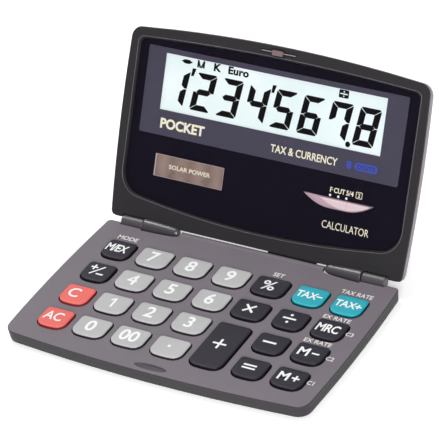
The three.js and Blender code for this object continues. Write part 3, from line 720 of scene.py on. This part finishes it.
# a low bead runs round the window; its pale grey is a painted highlight along the window edge
rings = [[(x, y, FACE + dz) for x, y in window_outline(g)] for g, dz in ((0.4, -0.03), (0.43, 0.03), (0.5, 0.055), (0.57, 0.03), (0.6, -0.03))]
nr = len(rings[0])
bf = [(k * nr + j, k * nr + (j + 1) % nr, ((k + 1) % 5) * nr + (j + 1) % nr, ((k + 1) % 5) * nr + j) for k in range(5) for j in range(nr)]
bead = obj_from("window_bead_highlight", [p for r in rings for p in r], bf, D, BEAD_HIGHLIGHT, "display_leaf", smooth=70)
# grey panel round the display, with its opening
v, f = sheet_with_holes(rect(-39.85, 39.0, 24.95, 48.75, 0.5), [rect(*LCD_VIEW)], FILM + 0.002, FILM + 0.014)
o = obj_from("grey_panel_print", v, f, D, PANEL, "display_leaf")

SEG_Z = (-1.546, -1.532)


def seg_digit(name, ch, x, y, w=6.2, h=10.35, t=1.56, tv=1.84, slant=0.135):
    """A slanted seven-segment digit with clipped outer corners: x, y is the middle of its foot."""
    g = 0.09
    c = 0.42
    on = {"1": "bc", "2": "abged", "3": "abgcd", "4": "fgbc", "5": "afgcd", "6": "afgcde", "7": "abcf", "8": "abcdefg"}[ch]
    m = h / 2
    a2 = w / 2
    u = t / 2
    polys = {
        "a": [(-a2 + c + g, h), (-a2 + 0.12 + g, h - c + 0.12), (-a2 + tv + g * 0.4, h - t), (a2 - tv - g * 0.4, h - t), (a2 - 0.12 - g, h - c + 0.12), (a2 - c - g, h)],
        "d": [(-a2 + c + g, 0), (-a2 + 0.12 + g, c - 0.12), (-a2 + tv + g * 0.4, t), (a2 - tv - g * 0.4, t), (a2 - 0.12 - g, c - 0.12), (a2 - c - g, 0)],
        "g": [(-a2 + u + g, m), (-a2 + t + g, m - u), (a2 - t - g, m - u), (a2 - u - g, m), (a2 - t - g, m + u), (-a2 + t + g, m + u)],
        "f": [(-a2, m + g * 1.2), (-a2 + u, m + g * 1.2), (-a2 + tv, m + u + g * 1.2), (-a2 + tv, h - t - g), (-a2 + 0.1, h - c), (-a2, h - c - 0.2)],
        "e": [(-a2, m - g * 1.2), (-a2 + u, m - g * 1.2), (-a2 + tv, m - u - g * 1.2), (-a2 + tv, t + g), (-a2 + 0.1, c), (-a2, c + 0.2)],
        "b": [(a2, m + g * 1.2), (a2 - u, m + g * 1.2), (a2 - tv, m + u + g * 1.2), (a2 - tv, h - t - g), (a2 - 0.1, h - c), (a2, h - c - 0.2)],
        "c": [(a2, m - g * 1.2), (a2 - u, m - g * 1.2), (a2 - tv, m - u - g * 1.2), (a2 - tv, t + g), (a2 - 0.1, c), (a2, c + 0.2)],
    }
    out = [[(x + px + slant * py, y + py) for px, py in polys[k]] for k in on]
    return bars(name, out, SEG_Z[0], SEG_Z[1], D, SEG, "display_leaf")


DIGIT_X = [-32.2, -23.85, -15.75, -7.35, 0.7, 9.0, 17.4, 25.65]
for i, ch in enumerate("12345678"):
    seg_digit(f"digit_{i + 1}", ch, DIGIT_X[i] + 1.47, 33.48)
bars("digit_marks", [
    [(-26.1, 42.5), (-25.3, 42.5), (-24.7, 44.6), (-25.85, 44.6)],
    [(-1.35, 42.5), (-0.55, 42.5), (0.05, 44.6), (-1.1, 44.6)],
    disc(23.0, 33.25, 0.75, 20)], SEG_Z[0], SEG_Z[1], D, SEG, "display_leaf")
bars("minus_mark", [[(-29.55, 46.05), (-28.5, 45.5), (-27.1, 45.5), (-26.05, 46.05), (-27.1, 46.6), (-28.5, 46.6)]], SEG_Z[0], SEG_Z[1], D, SEG, "display_leaf")
mx, my, mw, mh = -24.6, 45.1, 2.3, 2.0
bars("mark_m", [rect(mx, mx + 0.5, my, my + mh), rect(mx + mw - 0.5, mx + mw, my, my + mh),
                [(mx + 0.1, my + mh), (mx + 0.7, my), (mx + mw / 2, my), (mx + mw / 2, my + 0.35), (mx + 0.45, my + mh)],
                [(mx + mw - 0.1, my + mh), (mx + mw - 0.45, my + mh), (mx + mw / 2, my + 0.35), (mx + mw / 2, my), (mx + mw - 0.7, my)]],
     SEG_Z[0], SEG_Z[1], D, SEG, "display_leaf")
text("mark_k", "K", 2.0, -18.3, 46.1, -1.539, D, SEG, "display_leaf", depth=0.014, bold=0.13, sx=1.15)
text("mark_euro", "Euro", 2.0, -11.85, 46.1, -1.539, D, SEG, "display_leaf", depth=0.014, bold=0.12, sx=1.15, spacing=1.05)
v, f = sheet_with_holes(rect(18.5, 21.4, 45.0, 47.15, 0.3), [rect(18.85, 21.05, 45.92, 46.22), disc(19.95, 46.65, 0.2, 12), disc(19.95, 45.5, 0.2, 12)], SEG_Z[0], SEG_Z[1])
obj_from("mark_divide", v, f, D, SEG, "display_leaf")

# switch: crescent finger piece
def crescent(g, cx=24.9, half=7.6, top=18.3, drop=2.35, n=40):
    hw = half + g * 2.2
    p = [(cx - hw + 2 * hw * i / n, 0) for i in range(n + 1)]
    low = [(x, top + g - (drop + 2 * g) * (1 - ((x - cx) / hw) ** 2)) for x, _ in p]
    up = [(cx + hw - 2 * hw * i / n, top + g) for i in range(1, n)]
    return low + up


prof = [(0.0, -1.7), (0.0, -0.92), (-0.03, -0.84), (-0.09, -0.78), (-0.2, -0.75)]
v, f = loft([[(x, y, z) for x, y in crescent(g)] for g, z in prof])
fv, ff = prism(rect(11.3, 38.3, 15.0, 19.2), -1.95, -1.55)
o1 = obj_from("switch_knob_cap", v, f, D, KNOB_M, "switch", smooth=60)
# the flange takes the painted-shade copy of the knob colour
o2 = obj_from("switch_knob_flange", fv, ff, D, KNOB_FLANGE_SHADE, "switch")
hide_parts("switch_knob")
bars("switch_index", [rect(25.35, 25.47, 16.1, 18.2)], -0.755, -0.742, D, ink("index_pink", (196, 160, 176)), "switch")

# prints on the film
PZ = FILM + 0.008
PT = PZ + 0.014
bars("switch_dots", [disc(20.05, 19.15, 0.33), disc(22.5, 19.15, 0.33), disc(24.9, 19.15, 0.33)], FILM + 0.002, FILM + 0.014, D, WHITE, "display_leaf")
text("label_f", "F", 1.35, 20.2, 20.65, PZ, D, CREAM, "display_leaf", depth=0.012, bold=0.04, sx=0.95)
text("label_cut", "CUT", 1.35, 22.65, 20.65, PZ, D, CREAM, "display_leaf", depth=0.012, bold=0.04, sx=0.9)
text("label_round", "5/4", 1.35, 25.75, 20.65, PZ, D, CREAM, "display_leaf", depth=0.012, bold=0.04, sx=0.95)
text("label_two", "2", 1.1, 28.45, 20.65, PZ, D, CREAM, "display_leaf", depth=0.012, bold=0.04, sx=0.95)
v, f = sheet_with_holes(rect(27.5, 29.4, 19.75, 21.55, 0.25), [rect(27.66, 29.24, 19.91, 21.39, 0.15)], FILM + 0.002, FILM + 0.014)
obj_from("label_two_box", v, f, D, CREAM, "display_leaf")
text("label_pocket", "POCKET", 2.65, -26.65, 28.35, PT, D, CREAM, "display_leaf", depth=0.012, bold=0.14, sx=1.0)
text("label_tax", "TAX & CURRENCY", 2.1, 10.8, 28.05, PT, D, CREAM, "display_leaf", depth=0.012, bold=0.05, sx=0.83)
text("label_eight", "8", 2.1, 24.3, 28.05, PT, D, PILL, "display_leaf", depth=0.012, bold=0.1, sx=1.0)
v, f = prism(rect(26.0, 32.7, 27.05, 29.15, 0.9, 6), FILM + 0.014, FILM + 0.02)
obj_from("label_pill", v, f, D, PILL, "display_leaf")
text("label_digits", "DIGITS", 1.25, 29.35, 28.1, PT + 0.006, D, PANEL, "display_leaf", depth=0.01, bold=0.05, sx=1.05)
text("label_kind", "CALCULATOR", 2.1, 25.75, 11.25, PZ, D, CREAM, "display_leaf", depth=0.012, bold=0.0, sx=0.75)
text("label_solar", "SOLAR POWER", 1.2, -22.8, 16.95, -1.54, D, CREAM, "display_leaf", depth=0.012, bold=0.03, sx=1.15)
x0, x1, y0, y1 = SOLAR_VIEW
v, f = sheet_with_holes(rect(x0 - 0.42, x1 + 0.12, y0 - 0.15, y1 + 0.15), [rect(x0, x1, y0, y1)], FILM + 0.002, FILM + 0.012)
obj_from("cell_border", v, f, D, LINE, "display_leaf")

# ---------------------------------------------------------------- floor, light, camera
bpy.ops.mesh.primitive_grid_add(x_subdivisions=8, y_subdivisions=8, size=6)
floor = bpy.context.active_object
floor.name = "floor"
fm, nt, b, co, _ = new_material("floor_white")
n = noise(nt, co, 3, 3)
c = ramp(nt, n.outputs["Fac"], [(0.3, (0.93, 0.93, 0.93)), (0.7, (0.96, 0.96, 0.96))])
nt.links.new(c.outputs["Color"], b.inputs["Base Color"])
b.inputs["Roughness"].default_value = 0.9
b.inputs["Specular IOR Level"].default_value = 0.1
b.inputs["Emission Color"].default_value = (1, 1, 1, 1)
b.inputs["Emission Strength"].default_value = 0.35
floor.data.materials.append(fm)

bpy.context.scene.view_settings.view_transform = "Standard"

world = bpy.data.worlds.new("studio")
bpy.context.scene.world = world
world.use_nodes = True
wt = world.node_tree
wc = wt.nodes.new("ShaderNodeTexCoord")
dot = wt.nodes.new("ShaderNodeVectorMath")
dot.operation = "DOT_PRODUCT"
dot.inputs[1].default_value = (-0.35, 0.45, 0.82)
wt.links.new(wc.outputs["Generated"], dot.inputs[0])
wr = wt.nodes.new("ShaderNodeMapRange")
wr.interpolation_type = "SMOOTHSTEP"
wr.inputs["From Min"].default_value = -0.05
wr.inputs["From Max"].default_value = 0.85
wr.inputs["To Min"].default_value = 0.03
wr.inputs["To Max"].default_value = 0.6
wt.links.new(dot.outputs["Value"], wr.inputs["Value"])
wt.links.new(wr.outputs["Result"], wt.nodes["Background"].inputs["Strength"])
wt.nodes["Background"].inputs["Color"].default_value = (1, 1, 1, 1)


def area(name, loc, target, size, power, color=(1, 1, 1)):
    l = bpy.data.lights.new(name, "AREA")
    l.shape = "RECTANGLE"
    l.size, l.size_y = size
    l.energy = power
    l.color = color
    o = bpy.data.objects.new(name, l)
    o.location = loc
    o.rotation_mode = "QUATERNION"
    o.rotation_quaternion = (Vector(target) - Vector(loc)).to_track_quat("-Z", "Y")
    bpy.context.scene.collection.objects.link(o)
    return o


area("key_light", (-0.30, 0.25, 0.85), (0, 0, 0.01), (0.4, 0.4), 0.9)
area("strip_light", (-0.42, 0.27, 0.75), (0, 0, 0.01), (0.18, 0.45), 2.2)
area("fill_light", (0.5, -0.88, 0.47), (0, 0.03, 0.02), (0.5, 0.5), 11)

cam_data = bpy.data.cameras.new("camera")
cam = bpy.data.objects.new("camera", cam_data)
bpy.context.scene.collection.objects.link(cam)
az, el, roll = math.radians(34.733305), math.radians(34.967947), math.radians(-8.455187)
back = Vector((math.sin(az) * math.cos(el), -math.cos(az) * math.cos(el), math.sin(el)))
right = Vector((math.cos(az), math.sin(az), 0))
up = back.cross(right)
Rv = right * math.cos(roll) + up * math.sin(roll)
Uv = up * math.cos(roll) - right * math.sin(roll)
m = Matrix((Rv, Uv, back)).transposed().to_4x4()
m.translation = Vector((360.638 * MM, (-532.165 + YC) * MM, (461.673 + H) * MM))
cam.matrix_world = m
cam_data.sensor_width = 36
cam_data.lens = 2974.4665 * 36 / 439
cam_data.clip_start, cam_data.clip_end = 0.05, 20
bpy.context.scene.camera = cam
